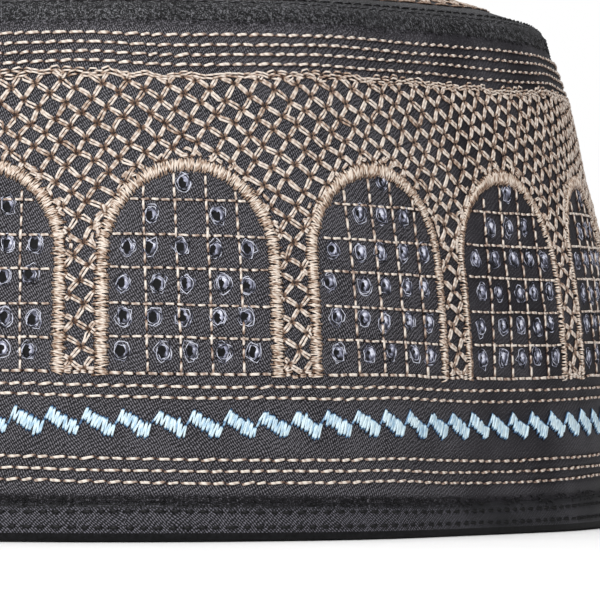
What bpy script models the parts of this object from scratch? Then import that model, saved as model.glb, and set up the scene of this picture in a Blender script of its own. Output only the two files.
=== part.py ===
"""Embroidered prayer cap.

A tall side band of stiffened cotton narrows upwards and carries a ring of raised satin-stitch arches.
A folded hem band runs round its lower edge, and a domed crown with a rolled edge closes the top.
The cap is hollow. +Z is up, its front faces -Y, and it stands on its hem at Z = 0.
"""

import math

import bmesh
import bpy
import numpy as np

MM = 0.001

# Plan of the hem, outside face: an oval that is widest behind its middle, as a head is.
HALF_WIDTH = 83.4 * MM
FRONT_LENGTH = 105.0 * MM
BACK_LENGTH = 94.7 * MM
# Flats pressed into the right cheek of the cap. Degrees run from the front towards +X.
CHEEK_FLATS = [
    # at_deg, depth, spread_deg
    (30.7, 0.90 * MM, 7.5),
    (39.8, 2.75 * MM, 11.9),
]

# Outer face of the side band, from the hem up to the crown seam.
WALL_PROFILE = [
    # height, share of the hem's plan
    (0.0 * MM, 1.000),
    (10.5 * MM, 1.000),
    (22.5 * MM, 0.998),
    (40.5 * MM, 0.978),
    (60.0 * MM, 0.928),
    (69.0 * MM, 0.906),
    (76.5 * MM, 0.879),
    (80.2 * MM, 0.865),
]

# The cloth sags a little round the pressed cheek, between the hem's edge and the cap's shoulder.
SAG_AT_DEG = 40.4
SAG_DROP = 1.05 * MM
SAG_SPREAD_DEG = 25.0
SAG_FADES_FROM = 50.0 * MM
SAG_FADES_TO = 68.0 * MM

# Cloth
WALL_THICKNESS = 1.6 * MM
SEAM_GAP = 0.3 * MM
PLAN_STEPS = 96

# Hem band: a strip folded round the lower edge, a little proud of the side band.
HEM_HEIGHT = 6.1 * MM
HEM_SECTION = [
    # inset from the plan, height
    (0.7 * MM, 0.0 * MM),
    (-0.1 * MM, 0.6 * MM),
    (-0.4 * MM, 1.6 * MM),
    (-0.4 * MM, HEM_HEIGHT - 0.7 * MM),
    (0.2 * MM, HEM_HEIGHT),
    (1.6 * MM, HEM_HEIGHT),
    (2.0 * MM, HEM_HEIGHT - 0.5 * MM),
    (2.0 * MM, 0.0 * MM),
]

# Side band
BAND_FOOT = HEM_HEIGHT + SEAM_GAP
BAND_TOP = WALL_PROFILE[-1][0]
BAND_OUTER_STEPS = 11
BAND_INNER_STEPS = 5

# Crown: a rolled edge over the seam, then a low dome.
CROWN_FOOT = BAND_TOP + SEAM_GAP
CROWN_ROLL = [
    # share of the hem's plan, height above the crown's foot
    (0.8620, 0.0 * MM),
    (0.8600, 0.6 * MM),
    (0.8535, 1.5 * MM),
    (0.8465, 2.1 * MM),
]
DOME_EDGE_SHARE = 0.838
DOME_EDGE_HEIGHT = CROWN_FOOT + 2.5 * MM
DOME_RISE = 14.4 * MM
DOME_POWER = 2.1
DOME_OUTER_SHARES = [0.838, 0.79, 0.71, 0.60, 0.47, 0.32, 0.16]
DOME_INNER_SHARES = [0.80, 0.68, 0.50, 0.28]

# Satin arches: each border is a raised cord of satin stitch, bent over two legs.
ARCH_COUNT = 17
FIRST_ARCH_AT = 10.1 * MM
ARCH_HALF_WIDTH = 13.65 * MM
ARCH_FOOT = 25.1 * MM
ARCH_SPRING = 43.9 * MM
ARCH_BORDER = 2.0 * MM
ARCH_RELIEF = 0.6 * MM
ARCH_LEG_STEPS = 2
ARCH_BOW_STEPS = 10

PLAN_SAMPLES = 2880


def plan_radius(angle):
    """Distance from the plan's centre to the hem's outer face; angle 0 is the front."""
    length = np.where(np.cos(angle) > 0.0, FRONT_LENGTH, BACK_LENGTH)
    across = HALF_WIDTH * np.cos(angle)
    along = length * np.sin(angle)
    radius = HALF_WIDTH * length / np.hypot(across, along)
    for at_deg, depth, spread_deg in CHEEK_FLATS:
        radius = radius - depth * np.exp(-(((np.degrees(angle) - at_deg) / spread_deg) ** 2))
    return radius


PLAN_ANGLES = np.linspace(-math.pi, math.pi, PLAN_SAMPLES + 1)
PLAN_X = plan_radius(PLAN_ANGLES) * np.sin(PLAN_ANGLES)
PLAN_Y = -plan_radius(PLAN_ANGLES) * np.cos(PLAN_ANGLES)
PLAN_RUN = np.concatenate([[0.0], np.cumsum(np.hypot(np.diff(PLAN_X), np.diff(PLAN_Y)))])
PLAN_RUN = PLAN_RUN - PLAN_RUN[PLAN_SAMPLES // 2]
GIRTH = float(PLAN_RUN[-1] - PLAN_RUN[0])
# The plan's centre lies behind the middle of the cap's length, because the back is shorter.
CENTRE_Y = (FRONT_LENGTH - BACK_LENGTH) / 2


def angle_at(run):
    """Plan angle at a distance run along the hem from the front, positive towards +X."""
    wrapped = (run - PLAN_RUN[0]) % GIRTH + PLAN_RUN[0]
    return float(np.interp(wrapped, PLAN_RUN, PLAN_ANGLES))


def share_at(height):
    """Share of the hem's plan at a height of the wall: a smooth curve through WALL_PROFILE."""
    heights = [row[0] for row in WALL_PROFILE]
    shares = [row[1] for row in WALL_PROFILE]
    slopes = np.gradient(shares, heights)
    i = min(max(int(np.searchsorted(heights, height)) - 1, 0), len(heights) - 2)
    width = heights[i + 1] - heights[i]
    t = (height - heights[i]) / width
    rise = shares[i + 1] - shares[i]
    bend_in = slopes[i] * width - rise
    bend_out = rise - slopes[i + 1] * width
    return shares[i] + t * rise + t * (1 - t) * ((1 - t) * bend_in + t * bend_out)


def sag_at(angle, height):
    """How far the cloth hangs below its level line."""
    off_middle = (math.degrees(angle) - SAG_AT_DEG) / SAG_SPREAD_DEG
    above = (SAG_FADES_TO - height) / (SAG_FADES_TO - SAG_FADES_FROM)
    below = height / HEM_HEIGHT
    return SAG_DROP * math.exp(-(off_middle**2)) * min(max(above, 0.0), below, 1.0)


def plan_point(run, share, inset, height):
    """Point over the hem position run, on the plan scaled by share and moved in by inset."""
    angle = angle_at(run)
    reach = float(plan_radius(angle)) * share - inset
    level = height - sag_at(angle, height)
    return (reach * math.sin(angle), CENTRE_Y - reach * math.cos(angle), level)


def dome_height(share):
    """Height of the crown's outer face where the plan has shrunk to share."""
    return DOME_EDGE_HEIGHT + DOME_RISE * (1 - (share / DOME_EDGE_SHARE) ** DOME_POWER)


def add_ring(bm, share, inset, height):
    """One closed ring of vertices round the plan."""
    runs = [GIRTH * i / PLAN_STEPS for i in range(PLAN_STEPS)]
    return [bm.verts.new(plan_point(run, share, inset, height)) for run in runs]


def join_rings(bm, lower, upper):
    """Faces between two rings or, where upper is one vertex, a fan of triangles."""
    for i, start in enumerate(lower):
        end = lower[(i + 1) % len(lower)]
        if isinstance(upper, list):
            bm.faces.new((start, end, upper[(i + 1) % len(upper)], upper[i]))
        else:
            bm.faces.new((start, end, upper))


def finish_object(bm, name, material):
    """Turns the bmesh into a named, smooth-shaded object with its faces pointing out."""
    bmesh.ops.recalc_face_normals(bm, faces=bm.faces)
    mesh = bpy.data.meshes.new(name)
    bm.to_mesh(mesh)
    bm.free()
    mesh.shade_smooth()
    mesh.set_sharp_from_angle(angle=math.radians(40.0))
    mesh.materials.append(material)
    piece = bpy.data.objects.new(name, mesh)
    bpy.context.scene.collection.objects.link(piece)
    return piece


def make_material(name, colour, roughness):
    material = bpy.data.materials.new(name)
    material.use_nodes = True
    shader = material.node_tree.nodes["Principled BSDF"]
    shader.inputs["Base Color"].default_value = (*colour, 1.0)
    shader.inputs["Roughness"].default_value = roughness
    shader.inputs["Metallic"].default_value = 0.0
    return material


def build_hem_band(material):
    """Folded strip round the lower edge: a closed section swept round the plan."""
    bm = bmesh.new()
    rings = [add_ring(bm, 1.0, inset, height) for inset, height in HEM_SECTION]
    for i, ring in enumerate(rings):
        join_rings(bm, ring, rings[(i + 1) % len(rings)])
    return finish_object(bm, "hem_band", material)


def build_side_band(material):
    """Hollow wall between the hem and the crown, one cloth thickness all the way."""
    outer_heights = np.linspace(BAND_FOOT, BAND_TOP, BAND_OUTER_STEPS + 1)
    inner_heights = np.linspace(BAND_TOP, BAND_FOOT, BAND_INNER_STEPS + 1)
    bm = bmesh.new()
    rings = [add_ring(bm, share_at(h), 0.0, h) for h in outer_heights]
    rings += [add_ring(bm, share_at(h), WALL_THICKNESS, h) for h in inner_heights]
    for i, ring in enumerate(rings):
        join_rings(bm, ring, rings[(i + 1) % len(rings)])
    return finish_object(bm, "side_band", material)


def build_crown(material):
    """Domed top: the rolled edge turns down over the seam, and the shell is open underneath."""
    bm = bmesh.new()
    outer = [add_ring(bm, share, 0.0, CROWN_FOOT + rise) for share, rise in CROWN_ROLL]
    outer += [add_ring(bm, share, 0.0, dome_height(share)) for share in DOME_OUTER_SHARES]
    outer.append(bm.verts.new((0.0, CENTRE_Y, dome_height(0.0))))
    foot_share = CROWN_ROLL[0][0]
    roll_top = CROWN_FOOT + CROWN_ROLL[1][1]
    inner = [add_ring(bm, foot_share, WALL_THICKNESS, CROWN_FOOT)]
    inner.append(add_ring(bm, foot_share, WALL_THICKNESS, roll_top))
    inner += [
        add_ring(bm, share, 0.0, dome_height(share) - WALL_THICKNESS)
        for share in DOME_INNER_SHARES
    ]
    inner.append(bm.verts.new((0.0, CENTRE_Y, dome_height(0.0) - WALL_THICKNESS)))
    for side in (outer, inner):
        for lower, upper in zip(side, side[1:]):
            join_rings(bm, lower, upper)
    join_rings(bm, outer[0], inner[0])
    return finish_object(bm, "crown", material)


def arch_line():
    """Centre line of one arch border: distance from the arch's middle, height, and its outward direction."""
    line = []
    for step in range(ARCH_LEG_STEPS):
        height = ARCH_FOOT + (ARCH_SPRING - ARCH_FOOT) * step / ARCH_LEG_STEPS
        line.append((-ARCH_HALF_WIDTH, height, -1.0, 0.0))
    for step in range(ARCH_BOW_STEPS + 1):
        turn = math.pi * step / ARCH_BOW_STEPS
        aside = -math.cos(turn)
        up = math.sin(turn)
        line.append((ARCH_HALF_WIDTH * aside, ARCH_SPRING + ARCH_HALF_WIDTH * up, aside, up))
    for step in reversed(range(ARCH_LEG_STEPS)):
        height = ARCH_FOOT + (ARCH_SPRING - ARCH_FOOT) * step / ARCH_LEG_STEPS
        line.append((ARCH_HALF_WIDTH, height, 1.0, 0.0))
    return line


def build_satin_arch(number, material):
    """One arch border, lying a seam gap off the wall, with bevelled long edges."""
    # The border's section: share of half the border's width, distance off the wall.
    section = [
        (-1.0, SEAM_GAP),
        (-0.6, SEAM_GAP + ARCH_RELIEF),
        (0.6, SEAM_GAP + ARCH_RELIEF),
        (1.0, SEAM_GAP),
    ]
    middle = FIRST_ARCH_AT + GIRTH * number / ARCH_COUNT
    bm = bmesh.new()
    loops = []
    for aside, height, out_aside, out_up in arch_line():
        loop = []
        for share, off_wall in section:
            run = middle + aside + out_aside * share * ARCH_BORDER / 2
            level = height + out_up * share * ARCH_BORDER / 2
            loop.append(bm.verts.new(plan_point(run, share_at(level), -off_wall, level)))
        loops.append(loop)
    for near, far in zip(loops, loops[1:]):
        join_rings(bm, near, far)
    bm.faces.new(loops[0])
    bm.faces.new(reversed(loops[-1]))
    return finish_object(bm, f"satin_arch_{number + 1:02d}", material)


def clear_scene():
    for item in list(bpy.data.objects):
        bpy.data.objects.remove(item, do_unlink=True)


clear_scene()
charcoal_cotton = make_material("charcoal_cotton", (0.048, 0.046, 0.052), 0.85)
tan_thread = make_material("tan_thread", (0.60, 0.45, 0.33), 0.45)
build_hem_band(charcoal_cotton)
build_side_band(charcoal_cotton)
build_crown(charcoal_cotton)
for arch in range(ARCH_COUNT):
    build_satin_arch(arch, tan_thread)
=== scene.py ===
"""Looks of an embroidered prayer cap: charcoal twill, tan and blue embroidery, lilac eyelets, black seams.

Lengths are in millimetres until a mesh is made. A place on the cap is a run round the hem from the
front, positive towards +X, and a height above the surface that the cap stands on.
"""

import math

import bpy
import numpy as np
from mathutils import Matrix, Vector


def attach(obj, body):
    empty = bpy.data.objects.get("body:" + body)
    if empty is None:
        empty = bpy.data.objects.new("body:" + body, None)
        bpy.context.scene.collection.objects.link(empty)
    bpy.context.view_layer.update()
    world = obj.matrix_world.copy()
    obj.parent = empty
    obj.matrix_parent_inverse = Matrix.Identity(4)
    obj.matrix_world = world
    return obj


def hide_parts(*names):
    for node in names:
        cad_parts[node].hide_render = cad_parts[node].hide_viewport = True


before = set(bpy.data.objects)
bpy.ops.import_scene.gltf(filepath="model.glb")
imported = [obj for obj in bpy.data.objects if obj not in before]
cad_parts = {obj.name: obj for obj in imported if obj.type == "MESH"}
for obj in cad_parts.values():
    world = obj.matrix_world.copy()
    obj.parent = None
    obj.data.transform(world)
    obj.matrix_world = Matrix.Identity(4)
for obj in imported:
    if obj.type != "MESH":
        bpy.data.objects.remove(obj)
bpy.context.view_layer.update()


# Side band
# The cap's wall: one strip of charcoal cotton twill, glued to a stiff lining and embroidered flat
# before its ends are sewn together. It narrows upwards and is a little pressed in at one cheek.
MM = 0.001
HALF_WIDTH = 83.4
FRONT_LENGTH = 105.0
BACK_LENGTH = 94.7
CENTRE_Y = (FRONT_LENGTH - BACK_LENGTH) / 2
CHEEK_FLATS = [
    # at_deg, depth, spread_deg
    (30.7, 0.90, 7.5),
    (39.8, 2.75, 11.9),
]
WALL_PROFILE = [
    # height, share of the hem's plan
    (0.0, 1.000),
    (10.5, 1.000),
    (22.5, 0.998),
    (40.5, 0.978),
    (60.0, 0.928),
    (69.0, 0.906),
    (76.5, 0.877),
    (80.2, 0.858),
]
SAG_AT_DEG = 40.4
SAG_DROP = 1.05
SAG_SPREAD_DEG = 25.0
BAND_FOOT = 6.0
BAND_TOP = 80.2
WALL_THICKNESS = 1.6
# Heights of the rows of running stitch, which press the cloth in a little.
LOW_ROWS = [9.2, 10.8, 12.6]
MIDDLE_ROWS = [21.95, 23.55]
TOP_ROWS = [72.45, 74.0, 75.55, 77.1]
WAVES = [
    # size, times round the cap, start, rise
    (0.13, 5, 0.7, 23),
    (0.08, 13, 2.1, -17),
    (0.05, 29, 4.0, 9),
]


def hump(place, middle, spread):
    """1 at the middle, falling smoothly to nearly 0 at twice the spread from it."""
    return np.exp(-(((place - middle) / spread) ** 2))


def plan_radius(angle):
    """Distance from the plan's centre to the hem; angle 0 is the front."""
    length = np.where(np.cos(angle) > 0.0, FRONT_LENGTH, BACK_LENGTH)
    radius = HALF_WIDTH * length / np.hypot(HALF_WIDTH * np.cos(angle), length * np.sin(angle))
    for at_deg, depth, spread_deg in CHEEK_FLATS:
        radius = radius - depth * hump(np.degrees(angle), at_deg, spread_deg)
    return radius


PLAN_ANGLES = np.linspace(-math.pi, math.pi, 2881)
PLAN_STEPS = np.hypot(
    np.diff(plan_radius(PLAN_ANGLES) * np.sin(PLAN_ANGLES)),
    np.diff(plan_radius(PLAN_ANGLES) * np.cos(PLAN_ANGLES)),
)
PLAN_RUNS = np.concatenate([[0.0], np.cumsum(PLAN_STEPS)]) - PLAN_STEPS[:1440].sum()
GIRTH = float(PLAN_STEPS.sum())


def angle_at(run):
    """Angle round the plan, from the front, at a run."""
    return np.interp((run - PLAN_RUNS[0]) % GIRTH + PLAN_RUNS[0], PLAN_RUNS, PLAN_ANGLES)


def share_at(height):
    """Share of the hem's plan at a height: a smooth curve through WALL_PROFILE."""
    heights, shares = np.array(WALL_PROFILE).T
    slopes = np.gradient(shares, heights)
    i = np.clip(np.searchsorted(heights, height) - 1, 0, len(heights) - 2)
    width = heights[i + 1] - heights[i]
    t = (height - heights[i]) / width
    rise = shares[i + 1] - shares[i]
    bend_in = slopes[i] * width - rise
    bend_out = rise - slopes[i + 1] * width
    return shares[i] + t * rise + t * (1 - t) * ((1 - t) * bend_in + t * bend_out)


def sag_at(angle, height):
    """How far the cloth hangs below its level line, round the pressed cheek."""
    fade = np.clip(np.minimum((68.0 - height) / 18.0, height / 6.1), 0.0, 1.0)
    return SAG_DROP * hump(np.degrees(angle), SAG_AT_DEG, SAG_SPREAD_DEG) * fade


def waves(run, height):
    """Slow unevenness of the stiffened cloth."""
    turn = 2 * math.pi * run / GIRTH
    return sum(size * np.sin(times * turn + start + height / rise) for size, times, start, rise in WAVES)


def relief(run, height):
    """How far the band's cloth stands off its smooth profile."""
    pressed = sum(hump(height, row, 0.5) for row in LOW_ROWS + MIDDLE_ROWS + TOP_ROWS)
    tucked = 0.3 * hump(height, 6.6, 0.9) + 0.12 * hump(height, BAND_TOP, 1.0)
    return waves(run, height) - 0.13 * pressed - tucked


def vectors(x, y, z):
    """Points or directions from their three parts."""
    return np.stack(np.broadcast_arrays(x, y, z), -1)


def plan_point(angle, reach, level):
    """Point at a reach from the plan's middle and a height."""
    return vectors(reach * np.sin(angle), CENTRE_Y - reach * np.cos(angle), level)


def wall_normal(run, height):
    """Direction square to the wall, pointing out."""
    angle = angle_at(run)
    lean = plan_radius(angle) * (share_at(height + 1) - share_at(height - 1)) / 2
    normal = vectors(np.sin(angle), -np.cos(angle), -lean)
    return normal / np.linalg.norm(normal, axis=-1, keepdims=True)


def on_wall(run, height, lift=0.0):
    """Point on the band's cloth, or lift off it."""
    angle = angle_at(run)
    reach = plan_radius(angle) * share_at(height) + relief(run, height)
    base = plan_point(angle, reach, height - sag_at(angle, height))
    return base + wall_normal(run, height) * np.asarray(lift)[..., None]


def add_piece(name, mesh, material):
    """A mesh of one material as an object in the scene."""
    mesh.materials.append(material)
    piece = bpy.data.objects.new(name, mesh)
    bpy.context.scene.collection.objects.link(piece)
    return piece


def add_cloth(name, rings, weave, material, tips=(None, None)):
    """Cloth skin through closed rings of points, row by row.

    rings is (rows, columns, 3) and weave (rows, columns + 1, 3), each in mm: where the threads of the
    cloth run, and the height. tips are the middle points that close the first and the last row;
    without them the last row joins the first.
    """
    rows, columns = rings.shape[:2]
    points = rings.reshape(-1, 3)
    index = np.arange(rows * columns).reshape(rows, columns)
    ends = np.roll(index, -1, axis=1)
    row_pairs = [(row, (row + 1) % rows) for row in range(rows if tips[0] is None else rows - 1)]
    faces = []
    corners = []
    for low, high in row_pairs:
        faces += np.stack([index[low], ends[low], ends[high], index[high]], -1).tolist()
        sides = [weave[low, :-1], weave[low, 1:], weave[high, 1:], weave[high, :-1]]
        corners.append(np.stack(sides, 1).reshape(-1, 3))
    for row, tip in zip((0, rows - 1), tips):
        if tip is not None:
            points = np.vstack([points, tip])
            order = -1 if row == 0 else 1
            middle = np.full(columns, len(points) - 1)
            faces += np.stack([*(index[row], ends[row])[::order], middle], -1).tolist()
            across = (weave[row, :-1], weave[row, 1:])[::order]
            corners.append(np.stack([*across, np.tile(tip, (columns, 1))], 1).reshape(-1, 3))
    mesh = bpy.data.meshes.new(name)
    mesh.from_pydata((points * MM).tolist(), [], faces)
    layer = mesh.attributes.new("weave", "FLOAT_VECTOR", "CORNER")
    layer.data.foreach_set("vector", np.concatenate(corners).astype(np.float32).ravel())
    mesh.shade_smooth()
    return add_piece(name, mesh, material)


def linear(colour_hex):
    """sRGB hex to linear RGBA."""
    shares = [int(colour_hex[i : i + 2], 16) / 255 for i in (1, 3, 5)]
    return [c / 12.92 if c <= 0.04045 else ((c + 0.055) / 1.055) ** 2.4 for c in shares] + [1.0]


def feed(owner, node, inputs):
    """Gives each input of a node its value, or links it to the socket that feeds it."""
    for key, value in inputs.items():
        if isinstance(value, bpy.types.NodeSocket):
            owner.node_tree.links.new(value, node.inputs[key])
        else:
            node.inputs[key].default_value = value


def add_node(owner, kind, inputs=None, **settings):
    """Outputs of a new shader node in a material or world."""
    made = owner.node_tree.nodes.new("ShaderNode" + kind)
    for key, value in settings.items():
        if key != "ramp":
            setattr(made, key, value)
            continue
        stops = made.color_ramp.elements
        while len(stops) < len(value):
            stops.new(1.0)
        for stop, (place, colour_hex) in zip(stops, value):
            stop.position = place
            stop.color = linear(colour_hex)
    feed(owner, made, inputs or {})
    return made.outputs


def new_finish(name):
    """An empty node material."""
    material = bpy.data.materials.new(name)
    material.use_nodes = True
    return material


def set_surface(material, roughness, specular, inputs):
    """Feeds the material's shader, with its constants on the shader's own sockets."""
    shader = material.node_tree.nodes["Principled BSDF"]
    feed(material, shader, {"Roughness": roughness, "Specular IOR Level": specular, **inputs})


def cotton_twill(name, ramp, rib_lean, seams, pressed_at=None):
    """Cotton twill: matt, with steep diagonal ribs that catch the light as fine broken lines.

    A real rib is about 0.3 mm, two pixels of the picture; here it is 0.35 mm, so that it shows. The
    ribs wander a little, because the cloth is drawn by its stitches. seams holds the height, half width
    and darkness of each seam, where close black stitches turn the ribs into speckle. Round pressed_at,
    a run, the ribs were pressed flat and nearly fade. Noise scales are for each millimetre.
    """
    rib_pitch = 0.35
    float_pitch = 0.56
    wave_period = 0.314
    pressed_tone = 1.58
    material = new_finish(name)
    placed = add_node(material, "Attribute", attribute_name="weave")["Vector"]
    weave = add_node(material, "Mapping", {"Vector": placed, "Scale": (1, 1, 0)})["Vector"]
    run, _, height = add_node(material, "SeparateXYZ", {0: placed})
    noises = [(0.17, 1.0, 0.5), (4.4, 1.0, 0.7), (1.5, 3.0, 0.8), (4.0, 3.0, 0.85), (0.09, 3.0, 0.5)]
    drawn, yarn, tufts, specks, tones = [
        add_node(material, "TexNoise", {"Vector": weave, "Scale": scale, "Detail": fine, "Roughness": rough})
        for scale, fine, rough in noises
    ]
    pull = {0: drawn["Color"], 1: (1.5, 1.5, 0.0), 2: weave}
    pulled = add_node(material, "VectorMath", pull, operation="MULTIPLY_ADD")[0]
    lean = (0, 0, math.radians(-rib_lean - 90))
    turned = add_node(material, "Mapping", {"Vector": pulled, "Rotation": lean})["Vector"]
    wave = {"Vector": turned, "Detail": 2.0, "Detail Scale": 2.0}
    ribs, floats = [
        add_node(
            material, "TexWave", {**wave, "Scale": scale, "Distortion": bend}, bands_direction=way
        )["Fac"]
        for way, scale, bend in (("X", wave_period / rib_pitch, 1.2), ("Y", wave_period / float_pitch, 3.5))
    ]
    woven = 0.0
    for source, share in ((ribs, 0.8), (floats, 0.5), (yarn["Fac"], 1.7)):
        woven = add_node(material, "Math", {0: source, 1: share, 2: woven}, operation="MULTIPLY_ADD")[0]
    tuft = add_node(material, "Math", {0: tufts["Fac"], 1: -3.0}, operation="MULTIPLY")[0]
    seam = 0.0
    seam_level = -2.45
    for seam_height, half_width, darkness in seams:
        off = add_node(material, "Math", {0: height, 1: seam_height}, operation="SUBTRACT")[0]
        off = add_node(material, "Math", {0: off}, operation="ABSOLUTE")[0]
        ragged = add_node(material, "Math", {0: off, 1: tuft}, operation="ADD")[0]
        zone = {0: ragged, 1: half_width - 1.3, 2: half_width - 1.9, 3: 0.0, 4: 1.0}
        stitched = add_node(material, "MapRange", zone)[0]
        seam = add_node(material, "Math", {0: stitched, 1: seam}, operation="MAXIMUM")[0]
        darker = {0: stitched, 1: -darkness, 2: seam_level}
        seam_level = add_node(material, "Math", darker, operation="MULTIPLY_ADD")[0]
    blotched = add_node(material, "Math", {0: tuft, 1: -0.9, 2: seam_level}, operation="MULTIPLY_ADD")[0]
    specked = {0: specks["Fac"], 1: 5.2, 2: blotched}
    speckle = add_node(material, "Math", specked, operation="MULTIPLY_ADD")[0]
    cloth = add_node(material, "Mix", {"Factor": seam, "A": woven, "B": speckle})["Result"]
    if pressed_at is not None:
        off = add_node(material, "Math", {0: run, 1: pressed_at}, operation="SUBTRACT")[0]
        off = add_node(material, "Math", {0: off}, operation="ABSOLUTE")[0]
        kept = add_node(material, "MapRange", {0: off, 1: 22.0, 2: 45.0, 3: 0.2, 4: 1.0})[0]
        cloth = add_node(material, "Mix", {"Factor": kept, "A": pressed_tone, "B": cloth})["Result"]
    toned = add_node(material, "Math", {0: tones["Fac"], 1: 0.35, 2: cloth}, operation="MULTIPLY_ADD")[0]
    level = add_node(material, "Math", {0: toned, 1: 0.48}, operation="MULTIPLY")[0]
    colour = add_node(material, "ValToRGB", {"Fac": level}, ramp=ramp)["Color"]
    bump = add_node(material, "Bump", {"Height": cloth, "Strength": 0.15, "Distance": 0.00006})["Normal"]
    set_surface(material, 0.65, 0.2, {"Base Color": colour, "Normal": bump})
    return material


CHARCOAL_RAMP = [(0.63, "#0c0b0e"), (0.83, "#211f24"), (1.0, "#727076")]
BAND_SEAMS = [(6.5, 0.75, 0.35), (80.4, 2.3, 0.1)]
band_twill = cotton_twill("charcoal_cotton_twill", CHARCOAL_RAMP, -60.0, BAND_SEAMS, 90.0)
COLUMNS = 240
column_runs = GIRTH * np.arange(COLUMNS) / COLUMNS
weave_runs = GIRTH * np.arange(COLUMNS + 1) / COLUMNS
outer_heights = np.concatenate(
    [np.linspace(BAND_FOOT, 15, 30), np.linspace(15.5, 70.5, 46), np.linspace(71, BAND_TOP, 30)]
)
inner_heights = np.linspace(BAND_TOP, BAND_FOOT, 8)
outer_rings = [on_wall(column_runs, h) for h in outer_heights]
column_angles = angle_at(column_runs)
column_reach = plan_radius(column_angles)
inner_rings = []
for h in inner_heights:
    reach = column_reach * share_at(h) - WALL_THICKNESS
    inner_rings.append(plan_point(column_angles, reach, h - sag_at(column_angles, h)))
section_heights = np.concatenate([outer_heights, inner_heights])[:, None]
weave = vectors(weave_runs, section_heights, section_heights)
side_cloth = add_cloth("side_band_cloth", np.concatenate([outer_rings, inner_rings]), weave, band_twill)
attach(side_cloth, "root")
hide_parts("side_band")


# Hem band
# A strip of the same twill folded round the band's lower edge, closed with two rows of black
# machine stitches. The fold is soft, so its lower edge is round and turns into shadow.
HEM_HEIGHT = 6.1
HEM_SECTION = [
    # inset from the plan, height
    (1.0, 0.0),
    (0.55, 0.02),
    (0.15, 0.2),
    (-0.1, 0.5),
    (-0.18, 0.95),
    (-0.40, 1.35),
    (-0.42, 1.75),
    (-0.33, 2.2),
    (-0.45, 2.8),
    (-0.47, 3.6),
    (-0.42, 4.2),
    (-0.28, 4.6),
    (-0.36, 5.0),
    (-0.3, 5.5),
    (-0.16, 5.9),
    (0.3, HEM_HEIGHT + 0.1),
    (1.6, HEM_HEIGHT),
    (2.0, 5.6),
    (2.0, 0.0),
]
FOLDED_RAMP = [(0.64, "#0b0b0d"), (0.84, "#202023"), (1.0, "#6e6c75")]
hem_twill = cotton_twill("charcoal_cotton_twill_folded", FOLDED_RAMP, -45.0, [(5.9, 0.8, 0.35)], 90.0)
hem_rings = []
for inset, h in HEM_SECTION:
    ripple = waves(column_runs, h) + 0.04 * np.sin(171 * column_angles + h) if inset < 0.5 else 0.0
    level = h - sag_at(column_angles, h)
    hem_rings.append(plan_point(column_angles, column_reach - inset + ripple, level))
hem_lengths = np.concatenate([[0.0], np.cumsum(np.hypot(*np.diff(np.array(HEM_SECTION), axis=0).T))])
hem_heights = np.array(HEM_SECTION)[:, 1:]
weave = vectors(weave_runs, hem_lengths[:, None], hem_heights)
hem_cloth = add_cloth("hem_band_cloth", np.array(hem_rings), weave, hem_twill)
# The fold's rounded lower edge, the rows that face down, is coloured near-black, much darker than the twill.
NEAR_BLACK_ROWS = 5


def near_black_finish(name):
    """A smooth near-black finish, nearly without sheen, so that it reads as dark."""
    material = new_finish(name)
    place = add_node(material, "TexCoord")["Object"]
    mottle = add_node(material, "TexNoise", {"Vector": place, "Scale": 1500.0})["Fac"]
    ramp = [(0.3, "#060607"), (0.8, "#18181b")]
    colour = add_node(material, "ValToRGB", {"Fac": mottle}, ramp=ramp)["Color"]
    set_surface(material, 0.75, 0.2, {"Base Color": colour})
    return material


near_black_matt = near_black_finish("near_black_matt_surface")
hem_cloth.data.materials.append(near_black_matt)
near_black_faces = np.zeros(len(hem_cloth.data.polygons), dtype=np.int32)
near_black_faces[: NEAR_BLACK_ROWS * COLUMNS] = 1
hem_cloth.data.polygons.foreach_set("material_index", near_black_faces)
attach(hem_cloth, "root")
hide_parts("hem_band")


# Crown
# The top: a domed panel of stiffened twill, whose edge rolls down over the seam to the side band.
# Two rows of black machine stitches quilt its margin.
CROWN_FOOT = 80.5
CROWN_ROLL = [
    # share of the hem's plan, height above the crown's foot; the first rows lap over the band's edge
    (0.8572, -0.2),
    (0.8590, -1.3),
    (0.8622, -1.0),
    (0.8616, -0.7),
    (0.8600, -0.2),
    (0.8588, 0.4),
    (0.8560, 1.1),
    (0.8505, 1.65),
    (0.8450, 2.15),
]
DOME_EDGE_SHARE = 0.838
DOME_EDGE_RISE = 2.6
DOME_RISE = 13.8
DOME_POWER = 1.75
QUILT_SHARES = [0.8475, 0.8355]
SHOULDER = [(DOME_EDGE_SHARE, DOME_EDGE_RISE)] + sorted(CROWN_ROLL[6:])


def dome_height(share):
    """Height of the crown's cloth: a dome, and the shoulder outside it."""
    dome = DOME_EDGE_RISE + DOME_RISE * (1 - (share / DOME_EDGE_SHARE) ** DOME_POWER)
    shoulder = np.interp(share, *np.array(SHOULDER).T)
    return CROWN_FOOT + np.where(share > DOME_EDGE_SHARE, shoulder, dome)


def on_dome(run, share, lift=0.0):
    """Point on the crown's cloth where the plan has shrunk to share, or lift above it."""
    angle = angle_at(run)
    reach = plan_radius(angle) * share + waves(run, BAND_TOP) * share
    quilted = 0.15 * sum(hump(share, row, 0.006) for row in QUILT_SHARES)
    return plan_point(angle, reach, dome_height(share) - quilted + 0.25 * waves(run, 60 * share) + lift)


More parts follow.
